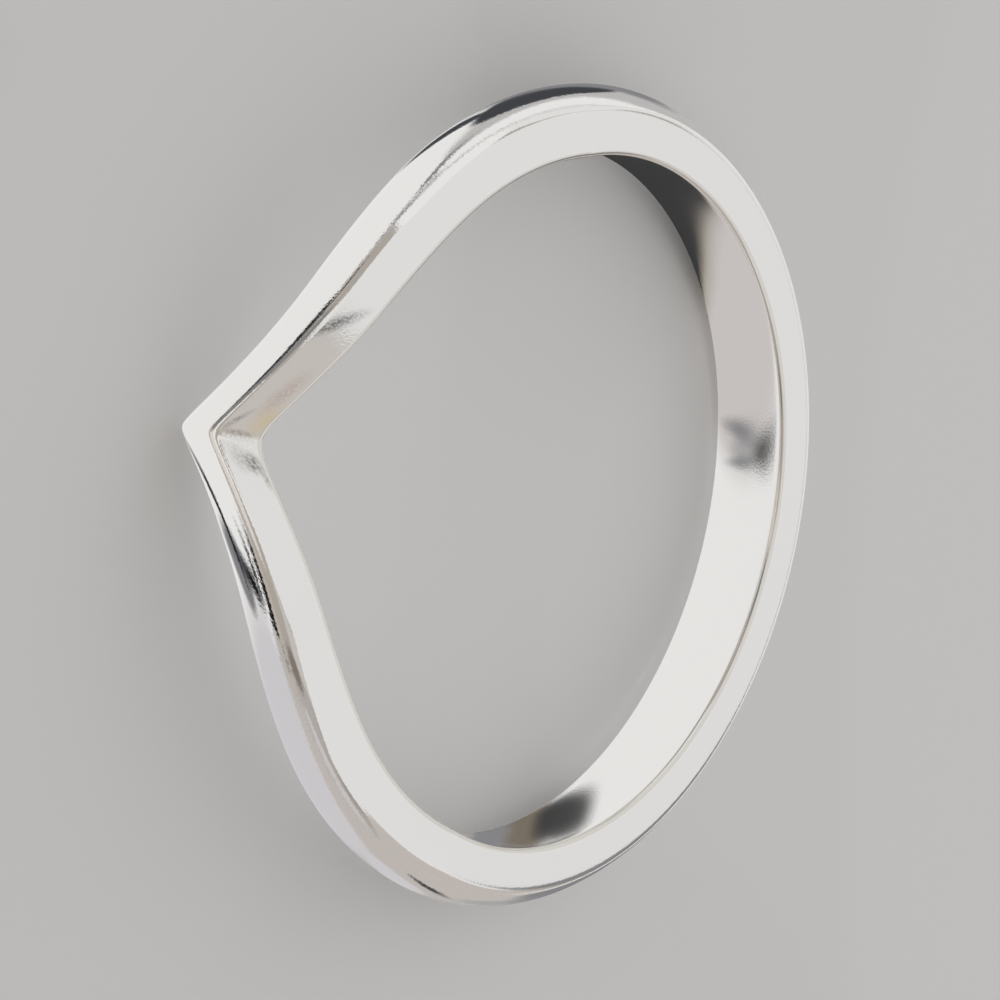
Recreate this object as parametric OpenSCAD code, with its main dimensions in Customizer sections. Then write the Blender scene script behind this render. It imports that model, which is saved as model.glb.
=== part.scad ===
// Chevron ring: one plain silver band that dips to a point at the front.
// It lies on its side as it would by itself. The open side of the V faces up, and the
// outer lower edge touches the floor under the point and under the back.
// Lengths are millimetres and angles degrees. +Z is up, and the point faces -Y.

/* [Finger hole] */
// Diameter of the round part of the finger hole
bore_d = 17.2; // [14:0.1:22]

/* [Band] */
// Width of the band, measured along the finger at the back
band_w = 2.1; // [1.5:0.1:3]
// Height of the flat side faces, from the finger hole to the dome
side_h = 1.1; // [0.8:0.05:2]
// Rise of the domed outside above the side faces
dome_h = 0.52; // [0.1:0.02:0.9]
// Radius of the polished edge between a side face and the dome
edge_r = 0.35; // [0.1:0.05:0.5]

/* [Chevron] */
// How far the point dips along the finger
dip = 2; // [0.5:0.1:4]
// Turn about the finger from the point to where the band runs level
arm_angle = 46; // [30:1:70]
// How curved the arms of the V are, where 1 is straight
arm_curve = 2.5; // [1.2:0.1:4]
// How far the point stands out past the round finger hole
point_out = 0.85; // [0.3:0.05:1.5]
// Lean of the band at the point, tipping its dome down and its upper side face outward
point_lean = 41.5; // [10:0.5:45]
// Turn about the finger from the point to where the band stands straight again
lean_angle = 78; // [50:1:100]
// Half width of the soft crease inside the point, as a turn about the finger
crease_in = 2.1; // [0.5:0.1:4]
// Half width of the sharper crease outside the point, as a turn about the finger
crease_out = 0.8; // [0.3:0.1:3]

/* [Hidden] */

// Sections round the ring, closer together near the point than at the back
sections = 160;
section_crowding = 1.4;
// Steps over the dome, and over each rounded edge
dome_steps = 10;
edge_steps = 3;

bore_r = bore_d / 2;
half_w = band_w / 2;

// The wall of the hole leaves the circle here, and runs straight to the point
flank_angle = acos(bore_r / (bore_r + point_out));

// The hole flares outward near the point. The flare has run out at this share of
// lean_angle, and the round bore has the whole wall from there to the back.
flare_end = 0.98;
// Share of the band's width that the round bore has where it starts, at flank_angle
lip_start = 0.05;

// Metal left inside the hole for the round bore to cut, in general and where the bore
// meets the flare, and the clearance to the walls near the point that it leaves alone
bore_stock = 0.3;
lip_stock = 0.02;
bore_gap = 0.02;

// Where the edge rounding starts on the side face, and on the dome as a share of half_w
edge_turn = 90 - atan(2 * dome_h / half_w);
edge_cut = edge_r * tan(edge_turn / 2);
edge_share = 1 - edge_cut * sin(edge_turn) / half_w;

// Height of the band's profile above the hole, at a share of half_w from its middle
function dome_at(share) = side_h + dome_h * (1 - share * share);

// Turn from the point, kept above zero so that the crease is rounded. The crease is
// softer at the hole than at the outside, so this follows the height in the band.
function soft_turn(turn, height) =
    let (out = min(1, max(0, height / side_h)))
    norm([turn, crease_in + (crease_out - crease_in) * out]);

function lean_at(turn) = point_lean * max(0, 1 - turn / lean_angle);

function dip_at(turn) = dip * pow(max(0, 1 - turn / arm_angle), arm_curve);

function hole_r_at(turn) = bore_r / cos(max(0, flank_angle - turn));

// Place [radius, z] of a profile point [height, across] in the section at this turn
function place(turn, point) =
    let (soft = soft_turn(turn, point[0]), lean = lean_at(soft))
    [
        hole_r_at(soft) + point[0] * cos(lean) + point[1] * sin(lean),
        point[1] * cos(lean) - point[0] * sin(lean) - dip_at(soft)
    ];

// Height in the band at which a side face, side 1 above or -1 below, has this radius
function height_at(turn, side, radius) =
    let (soft = soft_turn(turn, 0), lean = lean_at(soft))
    (radius - hole_r_at(soft) - side * half_w * sin(lean)) / cos(lean);

// Highest place for an inner corner, which leaves some of the side face
top_height = side_h - edge_cut - bore_gap;

// Upper inner corner: on the flared wall near the point, then sunk into the bore stock
function upper_corner(turn) =
    let (
        flared = bore_r + half_w * sin(lean_at(turn)),
        radius = turn < flare_end * lean_angle ? flared : bore_r - bore_stock,
        height = turn < flank_angle ? 0 : height_at(turn, 1, radius)
    )
    place(turn, [height, half_w]);

// Lower inner corner: near the point just clear of the bore, then sunk into its stock
function lower_corner(turn) =
    let (
        clear = max(0, height_at(turn, -1, bore_r + bore_gap)),
        sunk = height_at(turn, -1, bore_r - bore_stock),
        height = min(top_height, turn < flank_angle ? clear : sunk)
    )
    place(turn, [height, -half_w]);

// Where the flare meets the round bore, which crosses the band's width from the lower
// corner at flank_angle to the upper one at lean_angle
function lip(turn, lower, upper) =
    let (
        past = min(1, max(0, (turn - flank_angle) / (lean_angle - flank_angle))),
        share = lip_start + (1 - 2 * lip_start) * past,
        on_line = lower + (upper - lower) * share,
        stock = turn < flare_end * lean_angle ? lip_stock : bore_stock
    )
    turn < flank_angle ? on_line : [bore_r - stock, on_line[1]];

// Point at a share s of a rounded edge, which bends from the side face to the dome
function edge_point(side, s) =
    let (
        start = [side_h - edge_cut, half_w],
        corner = [side_h, half_w],
        end = [dome_at(edge_share), half_w * edge_share],
        p = start * pow(1 - s, 2) + corner * 2 * s * (1 - s) + end * s * s
    )
    [p[0], side * p[1]];

// Outer profile from the upper side face, over the dome, to the lower side face
outer_profile = [
    for (i = [0 : edge_steps]) edge_point(1, i / edge_steps),
    for (i = [1 : dome_steps - 1])
        let (share = edge_share * (1 - 2 * i / dome_steps))
        [dome_at(share), half_w * share],
    for (i = [edge_steps : -1 : 0]) edge_point(-1, i / edge_steps)
];

// One section, as [radius, z] pairs
function section(turn) =
    let (upper = upper_corner(turn), lower = lower_corner(turn))
    [
        upper,
        for (point = outer_profile) place(turn, point),
        lower,
        lip(turn, lower, upper)
    ];

// Direction of each section, where 0 is the point and both signs meet at the back
function direction(i) =
    let (share = 2 * i / sections - 1)
    180 * sign(share) * pow(abs(share), section_crowding);

function ring_points() = [
    for (i = [0 : sections - 1])
        let (turn = direction(i))
        for (p = section(abs(turn))) [p[0] * sin(turn), -p[0] * cos(turn), p[1]]
];

points = ring_points();
side_count = len(points) / sections;

faces = [
    for (i = [0 : sections - 1], j = [0 : side_count - 1])
        let (
            i2 = (i + 1) % sections,
            j2 = (j + 1) % side_count,
            a = i * side_count + j,
            b = i2 * side_count + j,
            c = i2 * side_count + j2,
            d = i * side_count + j2
        )
        each i < sections / 2 ? [[a, b, c], [a, c, d]] : [[a, b, d], [b, c, d]]
];

// Height of a point once the ring leans back by tilt on the floor
function rest_z(p, tilt) = p[2] * cos(tilt) - p[1] * sin(tilt);
function rest_y(p, tilt) = p[1] * cos(tilt) + p[2] * sin(tilt);

function lowest(list, tilt) = min([for (p = list) rest_z(p, tilt)]);

// Tilt at which the point and the back touch the floor together, found by halving
function rest_tilt(front, back, low, high, steps) =
    let (mid = (low + high) / 2)
    steps == 0 ? mid
    : lowest(front, mid) < lowest(back, mid) ? rest_tilt(front, back, mid, high, steps - 1)
    : rest_tilt(front, back, low, mid, steps - 1);

back_points = [for (j = [0 : side_count - 1]) points[j]];
front_points = [for (j = [0 : side_count - 1]) points[sections / 2 * side_count + j]];
tilt = rest_tilt(front_points, back_points, 0, 45, 30);

// The origin is under the middle of the ring's box, on the floor
rest_ys = [for (p = points) rest_y(p, tilt)];
middle_y = (min(rest_ys) + max(rest_ys)) / 2;
floor_z = lowest(points, tilt);

bore_reach = band_w + dip + point_out;

module ring_band() {
    color("silver")
    translate([0, -middle_y, -floor_z])
    rotate([-tilt, 0, 0])
    difference() {
        polyhedron(points, faces);
        cylinder(h = 4 * bore_reach, d = bore_d, center = true, $fn = 180);
    }
}

ring_band();
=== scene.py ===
"""The looks of a plain silver chevron ring that lies on its side on a pale floor.

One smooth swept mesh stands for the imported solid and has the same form. The sizes below
are those of the solid, in millimetres and degrees. A turn is an angle about the finger,
which is 0 at the point of the V and 180 at the back. A profile point has a height above
the finger hole and a place across the band, positive on the side that faces up.
"""

import bpy
import numpy as np
from mathutils import Matrix, Vector


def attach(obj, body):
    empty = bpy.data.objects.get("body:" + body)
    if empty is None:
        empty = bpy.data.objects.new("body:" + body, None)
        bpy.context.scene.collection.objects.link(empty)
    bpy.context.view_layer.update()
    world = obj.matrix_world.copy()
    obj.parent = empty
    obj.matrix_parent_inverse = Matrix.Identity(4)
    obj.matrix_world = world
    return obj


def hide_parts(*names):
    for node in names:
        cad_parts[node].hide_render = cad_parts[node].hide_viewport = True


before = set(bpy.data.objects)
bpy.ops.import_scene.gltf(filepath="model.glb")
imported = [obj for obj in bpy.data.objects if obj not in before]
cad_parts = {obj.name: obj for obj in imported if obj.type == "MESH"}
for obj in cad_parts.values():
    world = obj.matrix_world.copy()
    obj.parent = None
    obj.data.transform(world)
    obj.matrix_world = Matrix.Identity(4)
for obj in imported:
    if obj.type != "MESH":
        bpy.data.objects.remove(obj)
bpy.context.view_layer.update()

MM = 0.001

# Sizes of the ring
BORE_R = 8.6        # radius of the round finger hole
BAND_W = 2.1        # width of the band
SIDE_H = 1.1        # height of the side faces
DOME_H = 0.52       # rise of the dome above them
EDGE_R = 0.35       # radius of the polished edge between a side face and the dome
DIP = 2.0           # how far the point dips along the finger
ARM_ANGLE = 46      # turn at which the band runs level
ARM_CURVE = 2.5     # how curved the arms of the V are, where 1 is straight
POINT_OUT = 0.85    # how far the point stands out past the round hole
POINT_LEAN = 41.5   # lean of the band at the point
LEAN_ANGLE = 78     # turn at which the band stands straight again
CREASE_IN = 2.1     # half width of the crease at the hole, as a turn
CREASE_OUT = 0.8    # half width of the crease at the outside, as a turn
INNER_EDGE = 0.12   # how far the rounding of the hole's edges reaches from the corner

# How the flare of the hole near the point meets its round part, as in the solid
FLARE_END = 0.98    # share of LEAN_ANGLE at which the flare has run out
LIP_START = 0.05    # share of the band's width that the round part has where it starts
LIP_STOCK = 0.02    # how far inside the round part the flare starts
BORE_GAP = 0.02     # clearance of the round part to the walls near the point

# Fineness of the smooth mesh
TURNS = 640         # sections round the ring
CROWDING = 1.4      # how strongly they crowd towards the point, where 1 is evenly
SIDE_STEPS = 10     # steps over a side face
EDGE_STEPS = 5      # steps over a rounded edge
DOME_STEPS = 30     # steps over the dome
WALL_STEPS = 16     # steps over the wall of the hole

# How the resting angle is searched
STEEPEST_TILT = 45
TILT_ROUNDS = 40

# The UV map of the band
BAND_MAP = "band"

# What follows from the sizes: the turn at which the wall of the hole leaves the circle and
# runs straight to the point, where the edge rounding starts on the side face, and on the
# dome as a share of the half width, and the highest place for an inner corner
HALF_W = BAND_W / 2
FLANK_ANGLE = np.degrees(np.arccos(BORE_R / (BORE_R + POINT_OUT)))
EDGE_TURN = 90 - np.degrees(np.arctan(2 * DOME_H / HALF_W))
EDGE_CUT = EDGE_R * np.tan(np.radians(EDGE_TURN / 2))
EDGE_SHARE = 1 - EDGE_CUT * np.sin(np.radians(EDGE_TURN)) / HALF_W
TOP_HEIGHT = SIDE_H - EDGE_CUT - BORE_GAP


# The form, by the same rules as the solid


def cosine(angle):
    return np.cos(np.radians(angle))


def sine(angle):
    return np.sin(np.radians(angle))


def soft_turn(turn, height):
    """The turn, kept above zero so that the crease at the point is rounded."""
    out = np.clip(height / SIDE_H, 0, 1)
    return np.hypot(turn, CREASE_IN + (CREASE_OUT - CREASE_IN) * out)


def lean_at(turn):
    return POINT_LEAN * np.maximum(0, 1 - turn / LEAN_ANGLE)


def dip_at(turn):
    return DIP * np.maximum(0, 1 - turn / ARM_ANGLE) ** ARM_CURVE


def hole_r_at(turn):
    return BORE_R / cosine(np.maximum(0, FLANK_ANGLE - turn))


def place(turn, height, across):
    """Radius and z, on the last axis, of a profile point in the section at each turn."""
    soft = soft_turn(turn, height)
    lean = lean_at(soft)
    radius = hole_r_at(soft) + height * cosine(lean) + across * sine(lean)
    z = across * cosine(lean) - height * sine(lean) - dip_at(soft)
    return np.stack([radius, z], axis=-1)


def height_at(turn, side, radius):
    """Height in the band at which a side face has this radius."""
    soft = soft_turn(turn, 0)
    lean = lean_at(soft)
    return (radius - hole_r_at(soft) - side * HALF_W * sine(lean)) / cosine(lean)


def dome_at(share):
    """Height of the dome at a share of the half width from its middle."""
    return SIDE_H + DOME_H * (1 - share * share)


def bend(start, corner, end, steps):
    """Points of a rounded corner, from start to end."""
    share = np.linspace(0, 1, steps + 1)[:, None, None]
    return start * (1 - share) ** 2 + corner * 2 * share * (1 - share) + end * share**2


def toward(corner, other, distance):
    """The points that are this far from the corner, in the direction of the other points."""
    step = other - corner
    return corner + step * distance / np.linalg.norm(step, axis=-1, keepdims=True)


def inner_wall(turn):
    """Rows of wall points from the lower inner corner to the upper one."""
    front = turn < FLANK_ANGLE
    flared = turn < FLARE_END * LEAN_ANGLE
    upper_r = np.where(flared, BORE_R + HALF_W * sine(lean_at(turn)), BORE_R)
    upper_height = np.where(front, 0, height_at(turn, 1, upper_r))
    upper = place(turn, upper_height, HALF_W)
    clear = np.maximum(0, height_at(turn, -1, BORE_R + BORE_GAP))
    cut = height_at(turn, -1, BORE_R)
    lower = place(turn, np.minimum(TOP_HEIGHT, np.where(front, clear, cut)), -HALF_W)
    past = np.clip((turn - FLANK_ANGLE) / (LEAN_ANGLE - FLANK_ANGLE), 0, 1)
    lip_share = LIP_START + (1 - 2 * LIP_START) * past
    lip_z = lower[:, 1] + (upper[:, 1] - lower[:, 1]) * lip_share
    lip_r = BORE_R - LIP_STOCK
    rows = []
    for share in np.linspace(0, 1, WALL_STEPS + 1):
        z = lower[:, 1] + (upper[:, 1] - lower[:, 1]) * share
        straight = lower[:, 0] + (upper[:, 0] - lower[:, 0]) * share
        flare = lip_r + (upper_r - lip_r) * (z - lip_z) / (upper[:, 1] - lip_z)
        radius = np.where(front, straight, np.maximum(BORE_R, flare))
        rows.append(np.stack([radius, z], axis=-1))
    return rows


def side_face(turn, corner, side):
    """Rows of points from near the inner corner to the rounded outer edge."""
    inner = height_at(turn, side, corner[:, 0]) + INNER_EDGE
    outer = SIDE_H - EDGE_CUT
    shares = np.linspace(0, 1, SIDE_STEPS + 1)
    return [place(turn, inner + (outer - inner) * s, side * HALF_W) for s in shares]


def outer_edge(turn, side):
    """Rows of points over the rounded edge between a side face and the dome."""
    start = np.array([SIDE_H - EDGE_CUT, HALF_W])
    corner = np.array([SIDE_H, HALF_W])
    end = np.array([dome_at(EDGE_SHARE), HALF_W * EDGE_SHARE])
    points = bend(start, corner, end, EDGE_STEPS)[:, 0]
    return [place(turn, height, side * across) for height, across in points]


def dome(turn):
    """Rows of points over the dome, from the upper rounded edge to the lower one."""
    shares = np.linspace(EDGE_SHARE, -EDGE_SHARE, DOME_STEPS + 1)
    return [place(turn, dome_at(share), HALF_W * share) for share in shares]


def section_rows(turn):
    """The closed profile as rows of points, and the zone that starts at each row."""
    wall = inner_wall(turn)
    lower_side = side_face(turn, wall[0], -1)[::-1]
    upper_side = side_face(turn, wall[-1], 1)
    wall_start = toward(wall[0], wall[1], INNER_EDGE)
    wall_end = toward(wall[-1], wall[-2], INNER_EDGE)
    lower_bend = bend(lower_side[-1], wall[0], wall_start, EDGE_STEPS)
    upper_bend = bend(wall_end, wall[-1], upper_side[0], EDGE_STEPS)
    # The rounded edges of the hole take the place of the wall's end rows
    parts = [
        ("side", upper_side[:-1]),
        ("edge", outer_edge(turn, 1)[:-1]),
        ("dome", dome(turn)[:-1]),
        ("edge", outer_edge(turn, -1)[::-1][:-1]),
        ("side", lower_side[:-1]),
        ("edge", list(lower_bend)),
        ("wall", wall[2:-2]),
        ("inner", list(upper_bend)[:-1]),
    ]
    rows = [row for _, part in parts for row in part]
    zones = [zone for zone, part in parts for _ in part]
    return np.array(rows), zones


def rest_pose(points):
    """Leans the ring back until its point and its back both touch the floor."""
    half = TURNS // 2
    front, back = points[half], points[0]

    def lowest(some, tilt):
        return (some[:, 2] * cosine(tilt) - some[:, 1] * sine(tilt)).min()

    low, high = 0, STEEPEST_TILT
    for _ in range(TILT_ROUNDS):
        tilt = (low + high) / 2
        if lowest(front, tilt) < lowest(back, tilt):
            low = tilt
        else:
            high = tilt
    turn = Matrix.Rotation(-np.radians(tilt), 4, "X")
    placed = points.reshape(-1, 3) @ np.array(turn.to_3x3()).T
    middle_y = (placed[:, 1].min() + placed[:, 1].max()) / 2
    shift = Vector((0, -middle_y, -placed[:, 2].min()))
    return Matrix.Translation(shift) @ turn


def ring_faces(sides):
    """Each quad's section and row, and the numbers of its four points."""
    turn_ids, side_ids = np.meshgrid(np.arange(TURNS), np.arange(sides), indexing="ij")
    next_turn = (turn_ids + 1) % TURNS
    next_side = (side_ids + 1) % sides
    quad_corners = [
        (turn_ids, side_ids),
        (turn_ids, next_side),
        (next_turn, next_side),
        (next_turn, side_ids),
    ]
    quads = np.stack([turn * sides + side for turn, side in quad_corners], axis=-1)
    return turn_ids, side_ids, quads.reshape(-1, 4)


def add_band_map(mesh, signed, rows, turn_ids, side_ids):
    """A UV map in millimetres, along the band from the point and across it from the hole."""
    steps = np.linalg.norm(np.diff(rows, axis=0, append=rows[:1]), axis=-1).mean(axis=1)
    across = np.concatenate([[0], np.cumsum(steps)])
    along = np.append(np.radians(signed), np.pi) * (BORE_R + SIDE_H)
    u_start, u_end = along[turn_ids], along[turn_ids + 1]
    v_start, v_end = across[side_ids], across[side_ids + 1]
    u = np.stack([u_start, u_start, u_end, u_end], axis=-1)
    v = np.stack([v_start, v_end, v_end, v_start], axis=-1)
    band_map = mesh.uv_layers.new(name=BAND_MAP)
    band_map.data.foreach_set("uv", np.stack([u, v], axis=-1).reshape(-1))


def ring_mesh():
    """The ring as one closed mesh with its zones and its UV map, and its resting pose."""
    share = 2 * np.arange(TURNS) / TURNS - 1
    signed = 180 * np.sign(share) * np.abs(share) ** CROWDING
    rows, zones = section_rows(np.abs(signed))
    radius, z = rows[..., 0].T, rows[..., 1].T
    angle = np.radians(signed)[:, None]
    points = np.stack([radius * np.sin(angle), -radius * np.cos(angle), z], axis=-1)
    pose = rest_pose(points)
    flat = points.reshape(-1, 3) @ np.array(pose.to_3x3()).T + np.array(pose.translation)

    turn_ids, side_ids, quads = ring_faces(len(rows))
    mesh = bpy.data.meshes.new("ring_band_smooth")
    mesh.from_pydata((flat * MM).tolist(), [], quads.tolist())
    mesh.polygons.foreach_set("use_smooth", [True] * len(quads))

    add_band_map(mesh, signed, rows, turn_ids, side_ids)
    picks = np.array([list(ZONES).index(zone) for zone in zones])
    mesh.polygons.foreach_set("material_index", picks[side_ids].reshape(-1))
    mesh.update()
    mesh.validate()
    return mesh, pose


# Materials


def oval_mask(nodes, links, source, softness):
    """A mask that is 1 in the unit circle round the origin, with a soft rim inside it."""
    oval = nodes.new("ShaderNodeTexGradient")
    oval.gradient_type = "SPHERICAL"
    rim = nodes.new("ShaderNodeMapRange")
    rim.interpolation_type = "SMOOTHSTEP"
    rim.inputs["From Max"].default_value = softness
    links.new(source, oval.inputs["Vector"])
    links.new(oval.outputs["Fac"], rim.inputs["Value"])
    return rim.outputs["Result"]


# The polished silver, and the darker silver of the upper rounded edge of the hole, whose
# darkness is painted shade
SILVER = (0.93, 0.92, 0.91)
SHADED_SILVER = (0.82, 0.79, 0.75)

# The noise that makes the grain
GRAIN_SCALE = 14
GRAIN_DETAIL = 1

# How the grain breaks up each oval of painted reflection and painted shade
SPECKLE_LOW = 0.35     # the noise at and below which the mark is weakest
SPECKLE_HIGH = 0.6     # the noise at and above which the mark is whole
SPECKLE_LEAST = 0.4    # how strong the mark is where it is weakest

# Painted reflections and painted shade on the side face that faces up: ovals of colour that
# stand in for what the polished silver reflects there. The centre is in millimetres along the
# band from the point, positive towards +X, and from the finger hole outward. Then come the
# half length, the half width and the angle of the length in degrees, the colour, and how much
# of the oval is a soft rim
PAINTED_REFLECTIONS = {
    #              u      v    long  wide angle  colour              soft
    "streak":    (-3.15, 0.64, 1.05, 0.25,  34, (0.27, 0.27, 0.28), 0.95),
    "pink_reflection":     (-1.2,  0.30, 1.00, 0.32,   5, (0.79, 0.72, 0.69), 0.95),
    "yellow":    (-0.5,  0.10, 0.65, 0.42,   0, (0.93, 0.84, 0.60), 0.95),
    "arc":       (-0.37, 0.70, 0.50, 0.12,  25, (0.56, 0.55, 0.55), 0.95),
    "crease":    (-0.10, 0.45, 0.50, 0.11,  90, (0.58, 0.53, 0.52), 0.95),
    "pale_reflection":     (0.45,  0.50, 0.42, 0.30,   0, (0.68, 0.65, 0.63), 0.95),
    "dark_reflection": (0.52,  0.22, 0.33, 0.28,   0, (0.34, 0.33, 0.31), 0.80),
    "grey_reflection":  (0.80,  0.02, 0.45, 0.15,   0, (0.50, 0.48, 0.46), 0.95),
}

# The zones of the surface, in the order of their material slots: the silver's colour, its
# roughness, the depth of its grain in millimetres, and its painted reflections and painted
# shade
ZONES = {
    "side":  (SILVER, 0.14, 0.0025, PAINTED_REFLECTIONS),
    "edge":  (SILVER, 0.07, 0.0018, {}),
    "dome":  (SILVER, 0.05, 0.0018, {}),
    "wall":  (SILVER, 0.12, 0.001, {}),
    # The upper rounded edge of the hole is darker than the rest: painted shade
    "inner": (SHADED_SILVER, 0.14, 0.001, {}),
}


def paint_reflections(nodes, links, band_uv, noise, colour, reflection_marks):
    """The socket of the colour with its painted reflections and painted shade, each oval
    broken up by the grain's noise.
    """
    speckle = nodes.new("ShaderNodeMapRange")
    speckle.inputs["From Min"].default_value = SPECKLE_LOW
    speckle.inputs["From Max"].default_value = SPECKLE_HIGH
    speckle.inputs["To Min"].default_value = SPECKLE_LEAST
    links.new(noise, speckle.inputs["Value"])
    below = None
    for row in reflection_marks.values():
        u, v, half_long, half_wide, angle, reflection_colour, softness = row
        spot = nodes.new("ShaderNodeMapping")
        spot.vector_type = "TEXTURE"
        spot.inputs["Location"].default_value = (u, v, 0)
        spot.inputs["Rotation"].default_value = (0, 0, np.radians(angle))
        spot.inputs["Scale"].default_value = (half_long, half_wide, 1)
        links.new(band_uv, spot.inputs["Vector"])
        mask = oval_mask(nodes, links, spot.outputs["Vector"], softness)
        rough_mask = nodes.new("ShaderNodeMath")
        rough_mask.operation = "MULTIPLY"
        links.new(mask, rough_mask.inputs[0])
        links.new(speckle.outputs["Result"], rough_mask.inputs[1])
        tint = nodes.new("ShaderNodeMix")
        tint.data_type = "RGBA"
        tint.inputs["A"].default_value = (*colour, 1)
        tint.inputs["B"].default_value = (*reflection_colour, 1)
        links.new(rough_mask.outputs["Value"], tint.inputs["Factor"])
        if below:
            links.new(below, tint.inputs["A"])
        below = tint.outputs["Result"]
    return below


def silver(name, colour, roughness, grain, reflection_marks):
    """Silver with a fine grain in its surface, and with painted reflections and painted shade
    in its colour where it has any.
    """
    material = bpy.data.materials.new(name)
    material.use_nodes = True
    nodes, links = material.node_tree.nodes, material.node_tree.links
    shader = nodes["Principled BSDF"]
    shader.inputs["Base Color"].default_value = (*colour, 1)
    shader.inputs["Metallic"].default_value = 1
    shader.inputs["Roughness"].default_value = roughness
    band_map = nodes.new("ShaderNodeUVMap")
    band_map.uv_map = BAND_MAP
    noise = nodes.new("ShaderNodeTexNoise")
    noise.inputs["Scale"].default_value = GRAIN_SCALE
    noise.inputs["Detail"].default_value = GRAIN_DETAIL
    bump = nodes.new("ShaderNodeBump")
    bump.inputs["Strength"].default_value = 1
    bump.inputs["Distance"].default_value = grain * MM
    links.new(band_map.outputs["UV"], noise.inputs["Vector"])
    links.new(noise.outputs["Fac"], bump.inputs["Height"])
    links.new(bump.outputs["Normal"], shader.inputs["Normal"])
    # The painted reflections and painted shade go into the base colour
    if reflection_marks:
        band_uv = band_map.outputs["UV"]
        tinted = paint_reflections(nodes, links, band_uv, noise.outputs["Fac"], colour, reflection_marks)
        links.new(tinted, shader.inputs["Base Color"])
    return material


# The scene


def make_ring():
    """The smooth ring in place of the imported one. Gives back how the ring rests."""
    mesh, pose = ring_mesh()
    ring = bpy.data.objects.new("ring_band_smooth", mesh)
    bpy.context.scene.collection.objects.link(ring)
    for zone, finish in ZONES.items():
        mesh.materials.append(silver(zone + "_silver", *finish))
    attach(ring, "root")
    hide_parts("ring_band")
    return pose


# The camera, in millimetres. The point and the directions are in the ring's own frame,
# before the ring lies down
AIM = (0.283, -0.536, -0.71)                 # the point in the middle of the picture
AIM_DISTANCE = 347.84                        # how far the camera is from it
AIM_BACK = (-0.00813, -0.80278, 0.59621)     # the direction from it to the camera
PICTURE_RIGHT = (-0.19905, 0.5856, 0.78578)  # roughly the picture's right
LENS = 510.3
SENSOR = 36
NEAREST = 0.01                               # the nearest sight, in metres


def make_camera(pose):
    """A long lens at the photograph's angle to the ring."""
    back = Vector(AIM_BACK).normalized()
    right = Vector(PICTURE_RIGHT)
    right = (right - back * right.dot(back)).normalized()
    up = back.cross(right)
    turn = Matrix((right, up, back)).transposed().to_4x4()
    data = bpy.data.cameras.new("camera")
    data.lens = LENS
    data.sensor_width = SENSOR
    data.clip_start = NEAREST
    camera = bpy.data.objects.new("camera", data)
    bpy.context.scene.collection.objects.link(camera)
    placed = pose @ Matrix.Translation(Vector(AIM) + back * AIM_DISTANCE) @ turn
    placed.translation *= MM
    camera.matrix_world = placed
    bpy.context.scene.camera = camera


def make_plane(name, half=1):
    """A flat square round the origin that faces up. Its half side is in metres."""
    mesh = bpy.data.meshes.new(name)
    places = [(-half, -half, 0), (half, -half, 0), (half, half, 0), (-half, half, 0)]
    mesh.from_pydata(places, [], [(0, 1, 2, 3)])
    plane = bpy.data.objects.new(name, mesh)
    bpy.context.scene.collection.objects.link(plane)
    return plane


# The floor, with half its side in metres
FLOOR_HALF = 2.0
FLOOR_COLOUR = (0.78, 0.78, 0.79)
FLOOR_ROUGHNESS = 0.8


def make_floor():
    floor = make_plane("floor", FLOOR_HALF)
    material = bpy.data.materials.new("pale_floor")
    material.use_nodes = True
    shader = material.node_tree.nodes["Principled BSDF"]
    shader.inputs["Base Color"].default_value = (*FLOOR_COLOUR, 1)
    shader.inputs["Roughness"].default_value = FLOOR_ROUGHNESS
    floor.data.materials.append(material)


def card_material(name, colour, softness):
    """A glowing or dark oval with a soft rim, on a plane from -1 to 1."""
    material = bpy.data.materials.new(name)
    material.use_nodes = True
    nodes, links = material.node_tree.nodes, material.node_tree.links
    nodes.clear()
    coordinates = nodes.new("ShaderNodeTexCoord")
    mask = oval_mask(nodes, links, coordinates.outputs["Object"], softness)
    glow = nodes.new("ShaderNodeEmission")
    glow.inputs["Color"].default_value = (*colour, 1)
    clear = nodes.new("ShaderNodeBsdfTransparent")
    mix = nodes.new("ShaderNodeMixShader")
    out = nodes.new("ShaderNodeOutputMaterial")
    links.new(mask, mix.inputs["Fac"])
    links.new(clear.outputs["BSDF"], mix.inputs[1])
    links.new(glow.outputs["Emission"], mix.inputs[2])
    links.new(mix.outputs["Shader"], out.inputs["Surface"])
    return material


# What the cards glow with, from light to dark
WHITE = (0.84, 0.84, 0.83)
IVORY = (0.84, 0.82, 0.79)
CLOUD = (0.77, 0.77, 0.76)
PALE = (0.71, 0.67, 0.63)
LILAC = (0.62, 0.61, 0.63)
PINK = (0.60, 0.57, 0.56)
CREAM = (0.54, 0.50, 0.47)
SAND = (0.50, 0.45, 0.40)
ROSE = (0.44, 0.415, 0.395)
MIST = (0.40, 0.40, 0.40)
TAN = (0.38, 0.345, 0.29)
ASH = (0.31, 0.31, 0.30)
GREY = (0.24, 0.24, 0.25)
UMBER = (0.22, 0.19, 0.17)
BROWN = (0.19, 0.165, 0.13)
SLATE = (0.055, 0.058, 0.066)
COAL = (0.045, 0.045, 0.046)
BLACK = (0.01, 0.01, 0.012)

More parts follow.
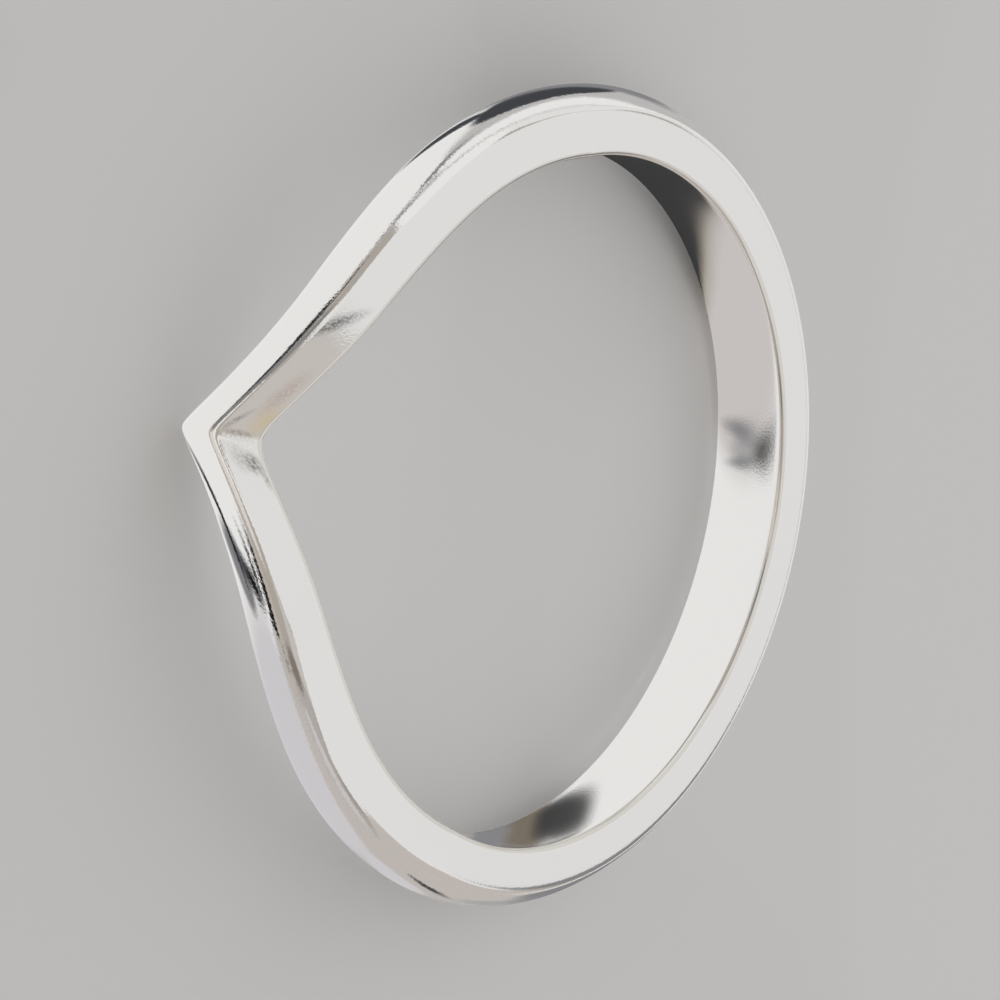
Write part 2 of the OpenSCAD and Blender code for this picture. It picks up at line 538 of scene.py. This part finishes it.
# Oval cards that lie just over the floor and show only in the polished metal, each over the
# ones before it: the centre, the half length, the half width and the angle of the length
# from +X, in millimetres and degrees, then the colour and how much of it is a soft rim
CARDS = {
    #                    x      y    long  wide  angle colour  soft
    "left_white":    (-58.0,  18.0,  40.0, 48.0,   0, WHITE, 0.10),
    "right_cream":   (36.0,   14.0,  28.0, 44.0,   0, CREAM, 0.30),
    "back_white":    (-10.0,  50.0,  46.0, 37.0,   0, WHITE, 0.05),
    "front_sand":    (10.0,  -62.0,  60.0, 46.0,   0, SAND,  0.10),
    "front_white":   (-1.0,  -10.0,  19.0,  9.5,   0, WHITE, 0.20),
    "corner_white":  (-19.0, -17.0,  13.0, 10.0,  35, WHITE, 0.15),
    "right_lilac":   (14.0,   -8.0,  10.5,  8.5,   0, LILAC, 0.30),
    "right_pale":    (13.0,    0.2,   3.2,  2.2,   0, LILAC, 0.40),
    "right_grey":    (12.0,    5.5,   2.6,  2.0,  20, MIST,  0.60),
    "left_dark":     (-49.0, -26.0,  17.0, 11.0, 120, GREY,  0.30),
    "left_ray":      (-28.5, -11.0,  13.0,  3.0,  36, GREY,  0.50),
    "front_dark":    (-21.5, -42.9,  31.0,  5.4,  61, BLACK, 0.15),
    "right_dark":    (12.2,  -19.0,   9.5,  1.4, -34, BLACK, 0.40),
    "right_far":     (27.0,  -27.0,  10.0,  3.0, -34, GREY,  0.50),
    "left_slate":    (-13.9,   0.2,   4.9,  3.4, 118, SLATE, 0.15),
    "left_start":    (-9.8,   -4.2,   2.8,  0.8, -28, SLATE, 0.40),
    "left_grey":     (-11.0,   2.0,   5.8,  1.9, 110, GREY,  0.50),
    "left_limb":     (-6.5,    1.0,   6.2,  5.8,   0, GREY,  0.45),
    "grey_near":     (4.5,   -10.1,   2.4,  1.1, -28, GREY,  0.40),
    "dark_line":     (2.9,  -10.15,   3.6,  0.3,  -5, BLACK, 0.70),
    "dark_band":     (6.3,   -12.2,   4.6, 0.65, -42, BLACK, 0.80),
    "dark_rim":      (6.8,   -13.6,   3.6, 0.35, -28, BLACK, 0.60),
    "dark_under":    (1.6,    -8.9,   1.4,  0.2,  35, COAL,  0.60),
    "right_line":    (17.0,    4.4,   5.0,  0.9,  12, SLATE, 0.60),
    "back_grey":     (11.4,   11.5,   8.5,  3.8,  68, GREY,  0.40),
    "inner_white":   (1.5,     7.0,   7.0,  3.6,   0, WHITE, 0.25),
    "inner_pink":    (-3.3,    6.6,   2.9,  2.6,   0, PINK,  0.35),
    "inner_tan":     (-7.0,    5.9,   2.8,  1.8,  30, TAN,   0.40),
    "inner_left":    (-7.6,    4.4,   2.9, 1.85,  90, COAL,  0.20),
    "inner_high":    (-7.35,   5.8,  2.45,  1.7,  30, COAL,  0.25),
    "inner_grey":    (8.2,     3.6,   1.2,  1.0,   0, GREY,  0.40),
    "inner_brown":   (7.1,     4.4,   1.0,  0.6, -40, BROWN, 0.60),
    "inner_right":   (5.95,    5.1,  1.35,  0.5, -33, COAL,  0.45),
    "smudge_fill":   (-1.4,    7.3,   1.0,  0.4, -60, MIST,  0.90),
    "smudge_high":   (-1.75,   7.3,   1.5, 0.28, -50, GREY,  0.90),
    "smudge_low":    (-1.15,  7.25,   1.2, 0.17, -69, GREY,  0.90),
    "smudge_core":   (-0.9,    6.3,   0.9, 0.33, -62, BLACK, 0.90),
}

# Oval cards that stand round the ring and face it, and also show only in the metal: the
# direction from the ring in degrees from +X, the distance, the height of the centre, the
# half width and the half height in millimetres, then the colour and the soft rim
FLAGS = {
    #               angle away  high  wide tall colour  soft
    "left_white":    (190, 200,    60,  90, 220, WHITE, 0.15),
    "front_grey":    (254, 200,    90,  44, 130, GREY,  0.30),
    "front_pale":    (281, 200,    60,  50, 115, PALE,  0.20),
    "front_ivory":   (271, 195,   135,  26,  42, IVORY, 0.20),
    "front_high":    (257, 200,   290,  28,  72, IVORY, 0.20),
    "front_black":   (242, 190,     8,  75,  16, BLACK, 0.50),
    "right_umber":   (320, 190,    75,  38,  95, UMBER, 0.50),
    "right_rose":    (338, 200,    60,  50, 135, ROSE,  0.20),
    "right_ash":     (5,   195,    62,  34,  20, ASH,   0.60),
    "right_low":     (352, 190,     0,  90,  30, PINK,  0.30),
    "back_cream":    (40,  200,    50, 100, 130, CREAM, 0.15),
    "back_dark":     (76,  190,    50,  34,  65, GREY,  0.40),
    "back_white":    (100, 200,     0,  80,  80, CLOUD, 0.15),
    "back_left":     (145, 200,     0,  95,  80, CLOUD, 0.15),
}

# The lowest card's height over the floor, and the step from each card to the next, in
# millimetres
CARD_LIFT = 0.01
CARD_STEP = 0.002


def finish_card(card, colour, softness):
    """Gives a card its glow, and lets it show only in reflections."""
    card.data.materials.append(card_material(card.name, colour, softness))
    card.visible_camera = False
    card.visible_diffuse = False
    card.visible_shadow = False


def make_flags():
    for name, row in FLAGS.items():
        angle, away, height, half_wide, half_tall, colour, softness = row
        flag = make_plane("flag_" + name)
        flag.scale = (half_wide * MM, half_tall * MM, 1)
        flag.rotation_euler = (np.radians(90), 0, np.radians(angle - 90))
        flag.location = (away * cosine(angle) * MM, away * sine(angle) * MM, height * MM)
        finish_card(flag, colour, softness)


def make_cards():
    for level, (name, row) in enumerate(CARDS.items()):
        x, y, half_long, half_wide, angle, colour, softness = row
        card = make_plane("card_" + name)
        card.scale = (half_long * MM, half_wide * MM, 1)
        card.rotation_euler = (0, 0, np.radians(angle))
        card.location = (x * MM, y * MM, (CARD_LIFT + CARD_STEP * level) * MM)
        finish_card(card, colour, softness)


# The surroundings in reflections, and where they are seen directly
ROOM_LIGHT = (0.42, 0.39, 0.35)
ROOM_SEEN = (0.7, 0.7, 0.72)

# What the soft boxes add to the surroundings behind them
OVER_ROOM = (0.35, 0.38, 0.413)
WARM_OVER_ROOM = (0.15, 0.145, 0.155)

# The soft boxes: the centre, the width, the depth and the point that the box faces, in
# metres, and its colour. Three hang over the floor, and one stands at the left
SOFT_BOXES = {
    "back_box":  ((0, 0.37, 0.3), 1.2, 0.8, (0, 0.37, 0), OVER_ROOM),
    "front_box": ((-0.135, -0.095, 0.3), 0.33, 0.15, (-0.135, -0.095, 0), OVER_ROOM),
    "warm_box":  ((0.14, -0.13, 0.3), 0.2, 0.18, (0.14, -0.13, 0), WARM_OVER_ROOM),
    "left_box":  ((-0.68, 0.48, 0.1), 1.9, 0.2, (0, 0, 0.1), OVER_ROOM),
}


def soft_box(name, centre, width, depth, facing, colour):
    """A rectangular soft box. Pi times its area in watts makes it as bright as its colour."""
    data = bpy.data.lights.new(name, "AREA")
    data.shape = "RECTANGLE"
    data.size = width
    data.size_y = depth
    data.color = colour
    data.energy = np.pi * width * depth
    box = bpy.data.objects.new(name, data)
    bpy.context.scene.collection.objects.link(box)
    box.location = centre
    away = Vector(centre) - Vector(facing)
    box.rotation_euler = away.to_track_quat("Z", "Y").to_euler()


def make_room():
    """Even surroundings, which are paler where they are seen directly."""
    world = bpy.data.worlds.new("room")
    world.use_nodes = True
    nodes, links = world.node_tree.nodes, world.node_tree.links
    path = nodes.new("ShaderNodeLightPath")
    seen = nodes.new("ShaderNodeMix")
    seen.data_type = "RGBA"
    seen.inputs["A"].default_value = (*ROOM_LIGHT, 1)
    seen.inputs["B"].default_value = (*ROOM_SEEN, 1)
    links.new(path.outputs["Is Camera Ray"], seen.inputs["Factor"])
    links.new(seen.outputs["Result"], nodes["Background"].inputs["Color"])
    bpy.context.scene.world = world


def make_lights():
    """The soft boxes, the surroundings, and the plain tones of the picture."""
    for name, row in SOFT_BOXES.items():
        soft_box(name, *row)
    make_room()
    bpy.context.scene.view_settings.view_transform = "Standard"


make_camera(make_ring())
make_floor()
make_cards()
make_flags()
make_lights()
